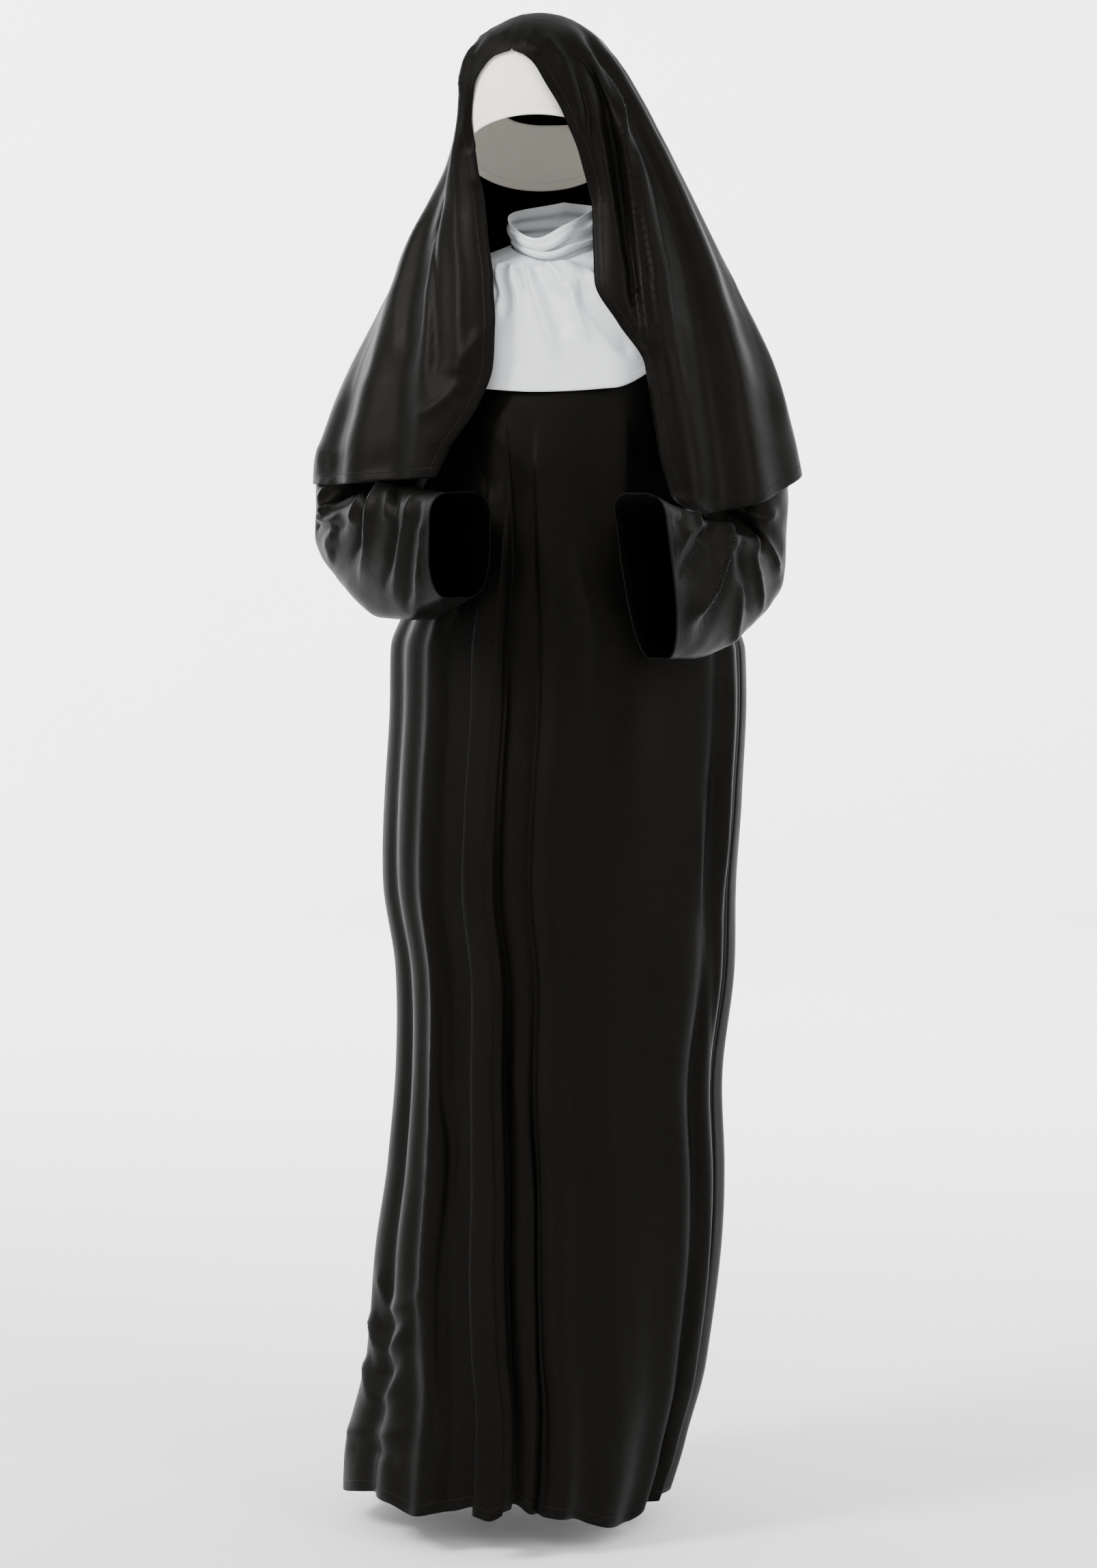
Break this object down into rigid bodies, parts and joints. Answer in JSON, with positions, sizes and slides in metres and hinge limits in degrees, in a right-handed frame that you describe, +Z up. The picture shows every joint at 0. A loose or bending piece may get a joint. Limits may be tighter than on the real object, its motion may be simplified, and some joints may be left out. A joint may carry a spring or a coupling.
{
  "type": "nun habit",
  "caption": "Worn nun habit: long black gown with pleated front and wide sleeves, white bib and neck band, black veil on a cream forehead band. Hollow, open at neck, cuffs, face and hem.",
  "frame": {"origin": "middle of the neck hole at the height of the shoulders, where the shoulders of whoever wears the habit hold it up", "axes": "+Z up, the front faces -Y, +X towards the side of sleeve_left"},
  "size_m": [0.5679, 0.4415, 1.686],
  "materials": {
    "black_satin": "black polyester satin with a soft grey sheen along the folds",
    "white_satin": "cool white satin with a fine even weave",
    "cream_jersey": "matt cream knitted jersey"
  },
  "bodies": {
    "root": {"gown_front": "black_satin", "gown_back": "black_satin", "sleeve_right": "black_satin", "sleeve_left": "black_satin", "collar_bib": "white_satin", "neck_band": "white_satin", "headband": "cream_jersey", "veil": "black_satin"}
  },
  "joints": []
}
